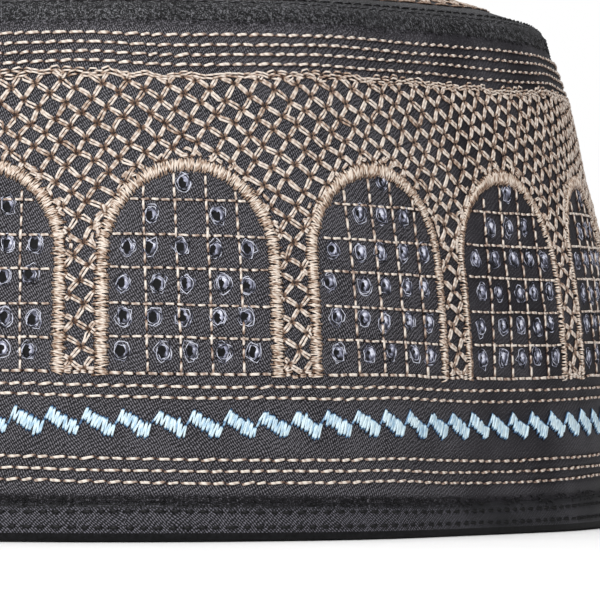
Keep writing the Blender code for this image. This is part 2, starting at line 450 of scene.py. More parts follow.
crown_rings = []
for share, rise in CROWN_ROLL:
    reach = column_reach * share + waves(column_runs, BAND_TOP)
    crown_rings.append(plan_point(column_angles, reach, CROWN_FOOT + rise))
dome_shares = np.concatenate([np.linspace(0.8395, 0.78, 20), np.linspace(0.765, 0.04, 20)])
crown_rings += [on_dome(column_runs, share) for share in dome_shares]
under_rings = [on_dome(column_runs, share, -WALL_THICKNESS) for share in (0.10, 0.40, 0.65, 0.80)]
foot_ring = plan_point(column_angles, column_reach * CROWN_ROLL[0][0] - WALL_THICKNESS, CROWN_FOOT)
crown_section = np.concatenate([under_rings, [foot_ring], crown_rings])
closed = np.concatenate([crown_section, crown_section[:, :1]], axis=1)
weave = closed + vectors(0.0, 0.6 * closed[..., 2], 0.0)
tips = (
    np.array([0.0, CENTRE_Y, dome_height(0.0) - WALL_THICKNESS]),
    np.array([0.0, CENTRE_Y, dome_height(0.0)]),
)
DOMED_RAMP = [(0.65, "#09090a"), (0.84, "#1c1c1e"), (1.0, "#727276")]
crown_twill = cotton_twill("charcoal_cotton_twill_crown", DOMED_RAMP, -50.0, [(80.6, 3.4, 0.1)])
crown_cloth = add_cloth("crown_cloth", crown_section, weave, crown_twill, tips)
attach(crown_cloth, "root")
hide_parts("crown")


# Running stitches
# Rows of tan rayon thread sewn by machine round the band. Each stitch is a raised dash with a painted
# highlight on its crest, and between two dashes the thread dives to its needle hole, where it is thin and
# in painted shadow.
LOW_ROW_STITCHES = 255
TOP_ROW_STITCHES = 233
LOW_DRIFTS = [
    # middle run, rise, spread
    (-17, 0.30, 9),
    (12, -0.22, 13),
    (45, 0.32, 8),
]
TOP_DRIFTS = [(-16, 0.15, 8), (-6, 0.25, 6), (10, -0.24, 9), (35, 0.16, 7), (108, 0.30, 9)]


def from_front(run):
    """The run counted the short way from the front."""
    return (run + GIRTH / 2) % GIRTH - GIRTH / 2


def sewn(run, height):
    """Where a stitch planned at (run, height) really lies.

    The rows ride up and down a little, because the cloth was drawn unevenly under the needle, and the
    upper embroidery leans over on the right cheek.
    """
    at = from_front(run)
    hidden = 0.15 * np.clip(np.abs(at) / 60 - 1.2, 0, 1) * np.sin(14 * math.pi * run / GIRTH + 1.0)
    low = hidden + sum(rise * hump(at, middle, spread) for middle, rise, spread in LOW_DRIFTS)
    top = hidden + sum(rise * hump(at, middle, spread) for middle, rise, spread in TOP_DRIFTS)
    top = top + 0.09 * (height - 75) * hump(at, 84, 14)
    low_share = np.clip((height - 5) / 3, 0, 1) * np.clip((30 - height) / 5, 0, 1)
    top_share = np.clip((height - 69) / 2, 0, 1) * (1.4 - 0.15 * np.abs(height - 72))
    crest = np.clip((height - 47) / 9, 0, 1) * np.clip((67 - height) / 7, 0, 1)
    lean = 1.15 * hump(at, 61, 13) * np.clip((height - 44) / 12, 0, 1) + 1.6 * hump(at, 80, 10) * crest
    return run + lean, height + low * low_share + top * top_share


def wall_place(run, height, lift):
    """Points and cloth normals for stitches planned at (run, height)."""
    run, height = sewn(run, height)
    return on_wall(run, height, lift), wall_normal(run, height)


def threads(paths, normals, half_width, half_height, shade, tone, sides=4):
    """Closed tubes along paths (n, steps, 3), with widths and shades for each step, as a batch of arrays."""
    count, steps = paths.shape[:2]
    ahead = np.gradient(paths, axis=1)
    side = np.cross(ahead, normals)
    side /= np.linalg.norm(side, axis=-1, keepdims=True)
    up = np.cross(side, ahead)
    up /= np.linalg.norm(up, axis=-1, keepdims=True)
    turn = 2 * math.pi * (np.arange(sides) + 0.5) / sides
    wide = np.broadcast_to(half_width, (count, steps))[..., None] * np.cos(turn)
    high = np.broadcast_to(half_height, (count, steps))[..., None] * np.sin(turn)
    ring = side[:, :, None] * wide[..., None] + up[:, :, None] * high[..., None]
    points = (paths[:, :, None] + ring).reshape(-1, 3)
    index = np.arange(count * steps * sides).reshape(count, steps, sides)
    near, far = index[:, :-1], index[:, 1:]
    quads = np.stack([near, far, np.roll(far, -1, 2), np.roll(near, -1, 2)], -1).reshape(-1, 4)
    caps = np.concatenate([index[:, 0], index[:, -1, ::-1]])
    along = np.cumsum(np.linalg.norm(ahead, axis=-1), axis=1)
    # Painted shade: every tube's colour darkens round its underside, towards the cloth.
    under = 0.60 + 0.52 * np.sin(turn)
    shape = (count, steps, sides)
    strand = vectors(np.cos(turn), np.sin(turn), along[..., None])
    return {
        "points": points,
        "faces": [quads, caps],
        "shade": (np.broadcast_to(shade, (count, steps))[..., None] * under).ravel(),
        "tone": np.broadcast_to(np.reshape(tone, (-1, 1, 1)), shape).ravel(),
        "strand": strand.reshape(-1, 3),
    }


def add_threads(name, batches, material):
    """One piece from batches of tubes."""
    points = []
    faces = []
    start = 0
    for batch in batches:
        for kind in batch["faces"]:
            faces += (kind + start).tolist()
        points.append(batch["points"])
        start += len(batch["points"])
    mesh = bpy.data.meshes.new(name)
    mesh.from_pydata((np.concatenate(points) * MM).tolist(), [], faces)
    for label, kind, key in (
        ("shade", "FLOAT", "value"), ("tone", "FLOAT", "value"), ("strand", "FLOAT_VECTOR", "vector")
    ):
        layer = mesh.attributes.new(label, kind, "POINT")
        layer.data.foreach_set(key, np.concatenate([b[label] for b in batches]).astype(np.float32).ravel())
    mesh.shade_smooth()
    piece = add_piece(name, mesh, material)
    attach(piece, "root")
    return piece


def embroidery_thread(name, ramp, roughness=0.42, ply_depth=0.12, gloss=0.6, streak=0.22):
    """Two-ply rayon embroidery thread: silky, with painted light in its colour, read from the shade
    attribute:
    a painted highlight on its crest and painted shade where it dives into the cloth.

    The plies cross the thread every 0.9 mm, painted darker and lighter in turn, and fine streaks follow the
    fibres.
    """
    ply_pitch = 0.9
    material = new_finish(name)
    shade, tone = [add_node(material, "Attribute", attribute_name=key)["Fac"] for key in ("shade", "tone")]
    strand = add_node(material, "Attribute", attribute_name="strand")["Vector"]
    aside, upward, along = add_node(material, "SeparateXYZ", {0: strand})
    lead = add_node(material, "Math", {0: along, 1: 2 * math.pi / ply_pitch}, operation="MULTIPLY")[0]
    sine, cosine = [add_node(material, "Math", {0: lead}, operation=kind)[0] for kind in ("SINE", "COSINE")]
    across = add_node(material, "Math", {0: sine, 1: aside}, operation="MULTIPLY")[0]
    ply = add_node(material, "Math", {0: cosine, 1: upward, 2: across}, operation="MULTIPLY_ADD")[0]
    stretched = add_node(material, "Mapping", {"Vector": strand, "Scale": (2.5, 2.5, 0.8)})["Vector"]
    fibres = add_node(material, "TexNoise", {"Vector": stretched, "Scale": 1.6, "Detail": 2.0})["Fac"]
    plied = add_node(material, "Math", {0: ply, 1: ply_depth, 2: shade}, operation="MULTIPLY_ADD")[0]
    streaked = add_node(material, "Math", {0: fibres, 1: streak, 2: plied}, operation="MULTIPLY_ADD")[0]
    toned = add_node(material, "Math", {0: tone, 1: 0.07, 2: streaked}, operation="MULTIPLY_ADD")[0]
    level = add_node(material, "Math", {0: toned, 1: streak / 2}, operation="SUBTRACT")[0]
    colour = add_node(material, "ValToRGB", {"Fac": level}, ramp=ramp)["Color"]
    bump = add_node(material, "Bump", {"Height": streaked, "Strength": 0.5, "Distance": 0.00006})["Normal"]
    set_surface(material, roughness, gloss, {"Base Color": colour, "Normal": bump})
    return material


# Each thread ramp runs from painted shade at 0, where a thread dives, to a painted highlight at 1, on its
# crest.
TAN_RAMP = [(0.0, "#24150f"), (0.30, "#54392c"), (0.62, "#a38976"), (1.0, "#e3d7cc")]
TWISTED_RAMP = [(0.0, "#24150f"), (0.30, "#54392c"), (0.62, "#a28b7c"), (1.0, "#e4dacf")]
tan_rayon = embroidery_thread("tan_rayon_thread", TWISTED_RAMP, 0.38, 0.26, 0.6, 0.34)
rng = np.random.default_rng(17)


def wander(count, size, smooth):
    """Slow random drift of a row's line, closed round the cap."""
    steps = rng.normal(0, 1, count)
    span = np.exp(-((np.minimum(np.arange(count), count - np.arange(count)) / smooth) ** 2))
    drift = np.real(np.fft.ifft(np.fft.fft(steps) * np.fft.fft(span)))
    return size * drift / drift.std()


def pressed_over_and_shaded(run):
    """1 on the right cheek, where the raised thread is pressed over to the right and painted shade lies on
    it, and 0 elsewhere.
    """
    at = from_front(run)
    return np.clip((at - 30) / 45, 0, 1) * np.clip((200 - at) / 60, 0, 1)


def dash_row(place, count, lifts, widths, shades, tilt=0.10):
    """A row of dashes: place(run, aside, lift) gives points and normals of the cloth under the row."""
    sway = 0.06
    fractions = np.array([0.0, 0.10, 0.22, 0.5, 0.78, 0.91])
    pitch = GIRTH / count
    holes = rng.uniform(0, pitch) + pitch * np.arange(count) + rng.normal(0, 0.10 * pitch, count)
    ends = np.append(holes[1:], holes[0] + GIRTH)
    drift = wander(count, sway, 4.0)
    next_drift = np.roll(drift, -1)
    slant = tilt + rng.normal(0, 0.07, count)
    run = holes[:, None] + (ends - holes)[:, None] * fractions
    aside = drift[:, None] + (next_drift - drift)[:, None] * fractions
    aside = aside + slant[:, None] * np.array([0.0, -0.85, -0.6, 0.0, 0.6, 0.85])
    lift = np.asarray(lifts) * rng.uniform(0.85, 1.12, count)[:, None]
    # On the right cheek each dash is narrower, and painted shade darkens it, most at its ends.
    sunk_and_shaded = pressed_over_and_shaded(run) * np.array([0.5, 0.55, 0.25, 0.08, 0.6, 0.6])
    half = np.asarray(widths) * rng.uniform(0.85, 1.15, (count, 6)) * (1 - 0.55 * sunk_and_shaded)
    shade = np.asarray(shades) * rng.uniform(0.86, 1.1, (count, 6)) * (1 - sunk_and_shaded)
    path_run = np.append(run, ends[-1])[None]
    path_aside, path_lift, path_half, path_shade = [
        np.append(a, a[0, 0])[None] for a in (aside, lift, half, shade)
    ]
    points, normals = place(path_run, path_aside, path_lift)
    return threads(points, normals, path_half, path_half * 0.9, path_shade, 0.0)


def wall_row(height):
    """The place of a dash row at a height of the wall."""
    def place(run, aside, lift):
        return wall_place(run, height + aside, lift)
    return place


DASH_LIFTS = [0.02, 0.16, 0.29, 0.34, 0.29, 0.16]
DASH_WIDTHS = [0.12, 0.19, 0.27, 0.29, 0.27, 0.19]
# Shades along a dash: painted shadow at the needle holes, a painted highlight on the crest.
DASH_SHADES = [-0.05, 0.36, 0.92, 1.08, 0.84, 0.30]
for name, heights, count in (
    ("low_running_rows", LOW_ROWS, LOW_ROW_STITCHES),
    ("middle_running_rows", MIDDLE_ROWS, LOW_ROW_STITCHES),
    ("top_running_rows", TOP_ROWS, TOP_ROW_STITCHES),
):
    rows = [dash_row(wall_row(h), count, DASH_LIFTS, DASH_WIDTHS, DASH_SHADES) for h in heights]
    add_threads(name, rows, tan_rayon)


# Lattice
# Diamonds of doubled tan thread fill the wall round and above the arches. Every edge is a loop of two
# strands pinched at its needle holes, and a chain of the same loops closes the lattice at the top.
ARCH_COUNT = 17
FIRST_ARCH_AT = 10.1
ARCH_PITCH = GIRTH / ARCH_COUNT
ARCH_HALF_WIDTH = 13.65
ARCH_FOOT = 25.1
ARCH_SPRING = 43.35
ARCH_BORDER = 2.0
LATTICE_PERIODS = 51
LATTICE_FOOT = 25.6
CHAIN_HEIGHT = 70.95
LATTICE_NODE = (1.35, 66.25)


def arch_distance(run, height):
    """Distance outside the middle line of the nearest arch border; negative inside the arch."""
    aside = np.abs((run - FIRST_ARCH_AT + ARCH_PITCH / 2) % ARCH_PITCH - ARCH_PITCH / 2)
    over = np.hypot(aside, np.maximum(height - ARCH_SPRING, 0.0))
    return over - ARCH_HALF_WIDTH


def strands(
    starts, ends, half_width, crest, tip_shade=-0.08, crest_shade=0.94, dive=0.14, tip=0.5, inset=0.0,
    aside=0.0, bow=0.0, place=wall_place,
):
    """Single strands between pairs of (run, height) points, thin where they dive at both ends, with
    painted shade there and a painted highlight on the crest.

    dive is the share of the length over which an end dives, tip its width as a share of the strand's,
    inset the share of the length that stays bare at each end, and aside and bow the distances that the
    whole strand and its middle lie off the straight line.
    """
    count = len(starts)
    t = np.array([inset, inset + dive, 1 - inset - dive, 1 - inset])
    belly = np.array([0.0, 1.0, 1.0, 0.0])
    way = ends - starts
    across = np.stack([-way[:, 1], way[:, 0]], 1) / np.linalg.norm(way, axis=1)[:, None]
    at = starts[:, None] + way[:, None] * t[:, None]
    off = np.broadcast_to(aside, (count, 4)) * (0.35 + 0.65 * belly) + np.reshape(bow, (-1, 1)) * belly
    at = at + across[:, None] * off[..., None]
    lift = 0.03 + crest * rng.uniform(0.8, 1.15, count)[:, None] * belly
    half = half_width * (tip + (1 - tip) * belly) * rng.uniform(0.88, 1.12, (count, 4))
    shade = (tip_shade + (crest_shade - tip_shade) * belly) * rng.uniform(0.78, 1.12, count)[:, None]
    points, normals = place(at[..., 0], at[..., 1], lift)
    return threads(points, normals, half, 0.8 * half, shade, rng.normal(0, 1, count))


def loops(starts, ends, half_gap=0.23, half_width=0.23, crest=0.22, place=wall_place):
    """Doubled strands between pairs of (run, height) points."""
    shape = (len(starts), 4)
    bow = rng.normal(0, 0.17, len(starts))
    return [
        strands(
            starts, ends, half_width, crest, 0.25, 0.97, place=place, dive=0.26, tip=0.5, inset=0.03, bow=bow,
            aside=sign * half_gap * rng.uniform(0.7, 1.2, shape) + rng.normal(0, 0.04, shape),
        )
        for sign in (-1, 1)
    ]


doubled_rayon = embroidery_thread("tan_rayon_thread_doubled", TAN_RAMP, 0.45, 0.18, 0.4, 0.6)
LATTICE_PULL = 0.256
CUT_STEPS = 40
SHORTEST_CUT = 10
period = GIRTH / LATTICE_PERIODS
falling = np.array([period * 0.2357, -1.5])
rising = (np.array([period, 0.0]) - 3 * falling) / 2
i, j = np.meshgrid(np.arange(-80, 260), np.arange(-80, 260), indexing="ij")
nodes = np.array(LATTICE_NODE) + i[..., None] * falling + j[..., None] * rising
inside = (nodes[..., 0] >= LATTICE_NODE[0] - 1e-6) & (nodes[..., 0] < LATTICE_NODE[0] + GIRTH - 1e-6)
inside &= (nodes[..., 1] > LATTICE_FOOT - 2.5) & (nodes[..., 1] < CHAIN_HEIGHT + 2.5)
kept = np.stack([i[inside], j[inside]], 1)


def pulled(index):
    """Where a node really lies: each is pulled a little out of line by its thread.

    The pull is made from the node's own place, so that all strands of a node meet at one point.
    """
    at = np.array(LATTICE_NODE) + index[:, :1] * falling + index[:, 1:] * rising
    turns = np.round((at[:, 0] - LATTICE_NODE[0]) / GIRTH * 3e3) % 3e3
    key = np.sin(turns * 12.9898 + np.round(at[:, 1] * 7) * 78.233) * 43758.5453
    first = key - np.floor(key)
    second = key * 1.37 - np.floor(key * 1.37)
    return at + LATTICE_PULL * np.stack([2 * first - 1, 2 * second - 1], 1)


starts = np.concatenate([pulled(kept), pulled(kept)])
ends = np.concatenate([pulled(kept + [1, 0]), pulled(kept + [0, 1])])
t = np.linspace(0, 1, CUT_STEPS + 1)
along = starts[:, None] + (ends - starts)[:, None] * t[:, None]
free = arch_distance(along[..., 0], along[..., 1]) > 0.75
free &= (along[..., 1] > LATTICE_FOOT) & (along[..., 1] < CHAIN_HEIGHT)
first = np.argmax(free, axis=1)
last = CUT_STEPS - np.argmax(free[:, ::-1], axis=1)
whole = free.any(axis=1) & ((last - first) >= SHORTEST_CUT)
cut_starts = along[np.arange(len(along)), first][whole]
cut_ends = along[np.arange(len(along)), last][whole]
add_threads("lattice_loops", loops(cut_starts, cut_ends), doubled_rayon)

# Small blobs at the lattice's nodes, coloured dark brown: painted shade of the needle holes where the strands
# meet.
knot_at = pulled(kept)
knot_free = (arch_distance(knot_at[:, 0], knot_at[:, 1]) > 0.9) & (knot_at[:, 1] > LATTICE_FOOT)
knot_at = knot_at[knot_free & (knot_at[:, 1] < CHAIN_HEIGHT)]
knot_half = 0.32 * rng.uniform(0.8, 1.2, (len(knot_at), 1)) * np.array([-1.0, 0.0, 1.0])
points, normals = wall_place(knot_at[:, :1] + knot_half, knot_at[:, 1:], 0.07)
knot_tones = rng.normal(0, 1, len(knot_at))
knots = threads(points, normals, [0.11, 0.32, 0.11], [0.06, 0.22, 0.06], [-0.08, 0.0, -0.08], knot_tones)
add_threads("lattice_knots", [knots], doubled_rayon)

chain_count = 262
chain_runs = GIRTH * np.arange(chain_count) / chain_count
chain = []
for shift, rise in ((0.0, 0.05), (0.47, -0.32)):
    heights = CHAIN_HEIGHT + rise + rng.normal(0, 0.24, chain_count)
    at = np.stack([chain_runs + shift * GIRTH / chain_count, heights], 1)
    after = np.roll(at, -1, axis=0)
    after[-1, 0] += GIRTH
    chain += loops(at, after, half_gap=0.27, half_width=0.19, crest=0.34)
add_threads("lattice_chain", chain, doubled_rayon)

# Loose ends of the lattice are caught down along the arches, and short stitches link the arches' feet.
catch_count = 24
catches_from = []
catches_to = []
for number in range(ARCH_COUNT):
    at = FIRST_ARCH_AT + ARCH_PITCH * number
    turn = rng.uniform(0.05, math.pi - 0.05, catch_count)
    reach = ARCH_HALF_WIDTH + rng.uniform(1.2, 2.1, catch_count)
    middle = np.stack([at - reach * np.cos(turn), ARCH_SPRING + reach * np.sin(turn)], -1)
    heading = math.pi / 2 - turn + rng.normal(0, 0.7, catch_count)
    half_way = rng.uniform(0.5, 1.0, catch_count)[:, None] * np.stack([np.cos(heading), np.sin(heading)], -1)
    catches_from.append(middle - half_way)
    catches_to.append(middle + half_way)
    gap_from = at + ARCH_HALF_WIDTH + 0.9
    gap_to = at + ARCH_PITCH - ARCH_HALF_WIDTH - 0.9
    for rise, count in ((0.0, 4), (0.55, 3)):
        cuts = np.linspace(gap_from, gap_to, count + 1) + rng.normal(0, 0.12, count + 1)
        line = np.stack([cuts, ARCH_FOOT + 0.35 + rise + rng.normal(0, 0.12, count + 1)], -1)
        catches_from.append(line[:-1])
        catches_to.append(line[1:])
catches = loops(np.concatenate(catches_from), np.concatenate(catches_to), 0.14, 0.17, 0.3)
add_threads("lattice_catch_stitches", catches, doubled_rayon)


# Crown embroidery ring
# A ring of the same doubled thread sewn on the crown: two chains and crossed loops between them. The
# photograph shows only its outer edge, so how it goes on is a guess.
UPWARDS = [0.0, 0.0, 1.0]


def crown_place(run, height, lift):
    """Points and normals for crown stitches; height is the distance inwards from the margin, in mm.

    The ring is a little narrower across the cap than the crown is.
    """
    margin = 0.800 - 0.06 * np.sin(angle_at(run)) ** 4
    points = on_dome(run, margin - height / 95, lift)
    return points, np.zeros_like(points) + UPWARDS


RING_COUNT = 88
ring_runs = GIRTH * np.arange(RING_COUNT + 1) / RING_COUNT
ring = []
for inwards in (0.4, 9.0):
    at = np.stack([ring_runs, inwards + rng.normal(0, 0.12, RING_COUNT + 1)], -1)
    ring += loops(at[:-1], at[1:], place=crown_place)
for near, far in ((0.9, 4.7), (8.5, 4.7)):
    for side in (-0.5, 0.5):
        from_margin = np.stack([ring_runs[:-1], np.full(RING_COUNT, near)], -1)
        to_middle = np.stack([ring_runs[:-1] + side * GIRTH / RING_COUNT, np.full(RING_COUNT, far)], -1)
        ring += loops(from_margin, to_middle, place=crown_place)
add_threads("crown_embroidery_ring", ring, doubled_rayon)


# Satin arches
# Seventeen borders of satin stitch: tan thread laid side by side across a padding cord, a little
# ragged at its ends. On the right cheek a border's right half is pressed down and narrow, with painted
# shade on it, and its left half gets painted light.
SATIN_PITCH = 0.238
SATIN_WIDTH = 0.97 * ARCH_BORDER
SATIN_RAMP = [(0.0, "#38241a"), (0.30, "#80614b"), (0.62, "#b9a18e"), (1.0, "#e8dbce")]
satin_rayon = embroidery_thread("tan_rayon_satin_stitch", SATIN_RAMP, 0.45, 0.28, 0.5, 0.75)
leg = ARCH_SPRING - ARCH_FOOT
bow = math.pi * ARCH_HALF_WIDTH
satin_count = int(round((2 * leg + bow) / SATIN_PITCH))


def arch_border(distance):
    """Point of a border's middle line and its outward direction, in (run, height), from the left foot."""
    turn = np.clip((distance - leg) / ARCH_HALF_WIDTH, 0, math.pi)
    up = np.where(distance < leg, distance, np.where(distance > leg + bow, 2 * leg + bow - distance, leg))
    out = np.stack([-np.cos(turn), np.sin(turn)], -1)
    middle = np.stack([ARCH_HALF_WIDTH * out[..., 0], ARCH_FOOT + up + ARCH_HALF_WIDTH * out[..., 1]], -1)
    return middle, out


for number in range(ARCH_COUNT):
    at = FIRST_ARCH_AT + ARCH_PITCH * number
    distance = (np.arange(satin_count) + 0.5) * (2 * leg + bow) / satin_count
    distance = distance + rng.normal(0, 0.04, satin_count)
    across = np.array([-1.0, -0.55, 0.55, 1.0])
    reach = np.ones((satin_count, 4)) * across * SATIN_WIDTH / 2
    reach[:, 0] -= rng.normal(0.03, 0.16, satin_count)
    reach[:, -1] += rng.normal(0.07, 0.20, satin_count)
    zigzag = np.where(np.arange(satin_count) % 2 == 0, 0.08, -0.08)
    lean = (zigzag + rng.normal(0.04, 0.16, satin_count))[:, None] * across
    middle, out = arch_border(distance[:, None] + lean)
    rightwards = np.clip(out[..., 0] * np.sign(across), -1, 1)
    leaning = pressed_over_and_shaded(at + 8.0 + middle[..., 0])
    over = leaning * np.clip(rightwards, 0, 1)
    painted_lit_half = leaning * np.clip(-rightwards, 0, 1)
    place = middle + out * (reach * (1 - 0.42 * over))[..., None]
    lift = np.array([0.05, 0.42, 0.42, 0.05]) * (1 - 0.3 * over) + rng.normal(0, 0.06, satin_count)[:, None]
    half = np.array([0.12, 0.165, 0.165, 0.12]) * rng.uniform(0.82, 1.12, (satin_count, 4))
    # Painted shade at each stitch's ends and a painted highlight in its middle; on the right cheek a border's
    # right half gets painted shade and its left half painted light.
    shade = np.array([0.38, 0.98, 0.98, 0.38]) * rng.uniform(0.56, 1.2, satin_count)[:, None]
    shade = shade * (1 - 0.72 * over) + 0.2 * painted_lit_half
    points, normals = wall_place(at + place[..., 0], place[..., 1], lift)
    batch = threads(points, normals, half, half, shade, rng.normal(0, 1, satin_count))
    arch = add_threads(f"satin_arch_stitches_{number + 1:02d}", [batch], satin_rayon)
    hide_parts(f"satin_arch_{number + 1:02d}")


# Eyelets
# Small pierced holes, each bound with fine lilac grey thread: a low ring with scratchy loose turns
# outside it. The bound wall is painted lighter on the side that faces the lamp, and a near-black disc
# in each hole is painted shade for its depth. On the right cheek they are pressed nearly shut.
EYELET_HEIGHTS = [28.7, 33.9, 38.9, 44.4, 49.3, 54.3]
CELL_ASIDES = [(-9.7, -4.4, 0.6, 5.5, 9.9)] * 4 + [(-4.4, 0.6, 5.5), (0.6,)]
FRONT_ASIDES = {
    # arch number: asides from the arch's middle, row by row
    0: [
        (-10.5, -4.4, -0.1, 5.0, 9.8),
        (-10.3, -5.7, -1.4, 4.1, 8.8),
        (-10.1, -5.2, -0.8, 4.9, 9.2),
        (-9.7, -6.2, -1.3, 4.2, 9.3),
        (-6.0, 4.9),
        (-0.8,),
    ],
    1: [
        (-10.5, -4.9, 0.2, 5.5, 9.8),
        (-10.4, -5.7, -1.3, 4.1, 8.8),
        (-11.1, -5.0, -0.6, 4.7, 9.3),
        (-9.9, -5.3, -1.1, 4.5, 9.7),
        (-5.0, 0.2, 5.5),
        (1.2,),
    ],
}
LIP_RADIUS = 0.92
TALLER = 1.17
HOLE_POINTS = 14
lilac_binding = embroidery_thread(
    "lilac_grey_binding_thread",
    [(0.0, "#0a0a0d"), (0.35, "#4a4b57"), (0.7, "#9092a6"), (1.0, "#d9dbe8")],
    0.6,
    gloss=0.2,
)
ARCH_SHIFTS = {1: 0.6, 16: -0.3}
PRESSED_AT = 80.0
PRESSED_SPREAD = 54.0
ROW_LIFTS = {1: (0.2, 0.3, 0.45, 0.25, 0.85, 0.9), 16: (0.0, -0.2, 1.0, 0.3, 1.3, 0.0)}
centres = []
for number in range(ARCH_COUNT):
    at = FIRST_ARCH_AT + ARCH_PITCH * number + ARCH_SHIFTS.get(number, 0.0)
    spread = 0.3 if number else 0.12
    rows = zip(EYELET_HEIGHTS, ROW_LIFTS.get(number, [0.0] * 6), FRONT_ASIDES.get(number, CELL_ASIDES))
    for height, rise, asides in rows:
        for aside in asides:
            drift = rng.normal(0, spread)
            centres.append([at + aside + drift, height + rise + rng.normal(0, spread * 0.7)])
centres = np.array(centres)
eyelet_count = len(centres)
flattened = np.exp(-(((centres[:, :1] - PRESSED_AT) / PRESSED_SPREAD) ** 4))


def turns_round(radius, half, crest, rough, shade):
    """A loose turn of thread round every eyelet."""
    turn = np.linspace(0, 2 * math.pi, 13)
    wobble = 1 + rng.normal(0, rough, (eyelet_count, len(turn)))
    wobble[:, -1] = wobble[:, 0]
    spin = rng.uniform(0, 2 * math.pi, (eyelet_count, 1))
    run = centres[:, :1] + radius * wobble * np.cos(turn + spin)
    height = centres[:, 1:] + radius * wobble * np.sin(turn + spin) * TALLER
    lift = crest + rng.normal(0, 0.05, wobble.shape)
    lift[:, -1] = lift[:, 0]
    bright = shade * np.clip(0.85 + rng.normal(0, 0.8, wobble.shape), 0.0, 1.5) * (1 - 0.3 * flattened)
    bright[:, -1] = bright[:, 0]
    points, normals = wall_place(run, height, lift)
    thin = half * rng.uniform(0.6, 1.3, wobble.shape)
    return threads(points, normals, thin, thin, bright, rng.normal(0, 1, eyelet_count), sides=3)


def bound_holes():
    """The bound wall of every hole: it slopes in from the lip to a hole that lies off its middle."""
    turn = 2 * math.pi * np.arange(HOLE_POINTS) / HOLE_POINTS
    open_share = 1.0 - 0.72 * flattened
    hole = rng.uniform(0.60, 0.80, (eyelet_count, 1)) * open_share
    off_run = rng.normal(-0.26, 0.08, (eyelet_count, 1)) * (1 + 0.25 * flattened)
    off_height = rng.normal(0.04, 0.12, (eyelet_count, 1)) + 0.12 * flattened
    rings = []
    shades = []
    # Painted light: the wall is lighter on the right of each hole, where it faces the key lamp, and lit all
    # round where the eyelet is pressed shut.
    facing = np.cos(turn + 0.4 + rng.normal(0, 0.35, (eyelet_count, 1)))
    lit = np.clip(facing + 0.25 + 0.65 * flattened, 0, 1) ** 0.8
    for share, lift, shade in ((0.0, 0.13, 0.3), (0.35, 0.19, 0.75), (0.7, 0.16, 1.1), (1.0, 0.07, 0.9)):
        rough = 1 + rng.normal(0, 0.06 + 0.17 * share, (eyelet_count, HOLE_POINTS))
        radius = (LIP_RADIUS * (1 - share) + hole * share) * rough
        run = centres[:, :1] + off_run * share + radius * np.cos(turn)
        height = centres[:, 1:] + off_height * share + radius * np.sin(turn) * (TALLER + 0.1 * share)
        rings.append(wall_place(run, height, lift)[0])
        painted_light = (0.08 + 0.78 * lit) * (1 + 0.12 * flattened)
        shades.append(shade * painted_light * rng.uniform(0.4, 1.3, run.shape))
    points = np.stack(rings, 1)
    index = np.arange(points.size // 3).reshape(points.shape[:3])
    near, far = index[:, :-1], index[:, 1:]
    quads = np.stack([near, np.roll(near, -1, 2), np.roll(far, -1, 2), far], -1).reshape(-1, 4)
    strand = vectors(3 * np.cos(turn), 3 * np.sin(turn), np.zeros(points.shape[:3]))
    wall = {
        "points": points.reshape(-1, 3),
        "faces": [quads],
        "shade": np.stack(shades, 1).ravel(),
        "tone": np.repeat(rng.normal(0, 1, eyelet_count), len(rings) * HOLE_POINTS),
        "strand": strand.reshape(-1, 3),
    }
    return wall, rings[-1]


wall, hole_rims = bound_holes()
bindings = [
    wall,
    turns_round(LIP_RADIUS, 0.11, 0.16, 0.08, 0.9),
    turns_round(1.08, 0.11, 0.10, 0.12, 1.15),
    turns_round(1.28, 0.10, 0.06, 0.14, 1.15),
]
add_threads("eyelet_bindings", bindings, lilac_binding)
# A disc of the near-black finish closes each hole at the cloth's surface: painted shade for the hole's depth.
mesh = bpy.data.meshes.new("eyelet_holes")
hole_faces = np.arange(eyelet_count * HOLE_POINTS).reshape(-1, HOLE_POINTS).tolist()
mesh.from_pydata((hole_rims.reshape(-1, 3) * MM).tolist(), [], hole_faces)
holes = add_piece("eyelet_holes", mesh, near_black_matt)
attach(holes, "root")


# Grid in the arches
# Tan running stitches quilt the cloth inside each arch into square cells, with a bolder double row
# at the foot.
GRID_RUNS = [-6.9, -1.9, 3.0, 8.0]
GRID_HEIGHTS = [30.8, 35.8, 41.2, 46.3, 51.6]
GRID_FOOT = 25.45
GRID_LEANS = {2: 0.6}
GRID_FEET = {2: -0.4}
INNER_EDGE = ARCH_HALF_WIDTH - ARCH_BORDER / 2


def dashes(starts, ends, pitch, half_width, crest):
    """Rows of separate short dashes between pairs of (run, height) points, except over the eyelets."""
    pieces_from = []
    pieces_to = []
    for start, end in zip(starts, ends):
        count = max(int(round(np.linalg.norm(end - start) / pitch)), 1)
        cuts = np.linspace(0, 1, count + 1)
        cuts[1:-1] += rng.normal(0, 0.08 / count, count - 1)
        line = start + (end - start) * cuts[:, None] + rng.normal(0, 0.05, (count + 1, 2))
        pieces_from.append(line[:-1])
        pieces_to.append(line[1:])
    start, end = np.concatenate(pieces_from), np.concatenate(pieces_to)
    off = np.linalg.norm((start + end)[:, None] / 2 - centres[None], axis=-1).min(axis=1)
    kept = off > 0.85
    return strands(start[kept], end[kept], half_width, crest, dive=0.2, tip=0.45, inset=0.03)


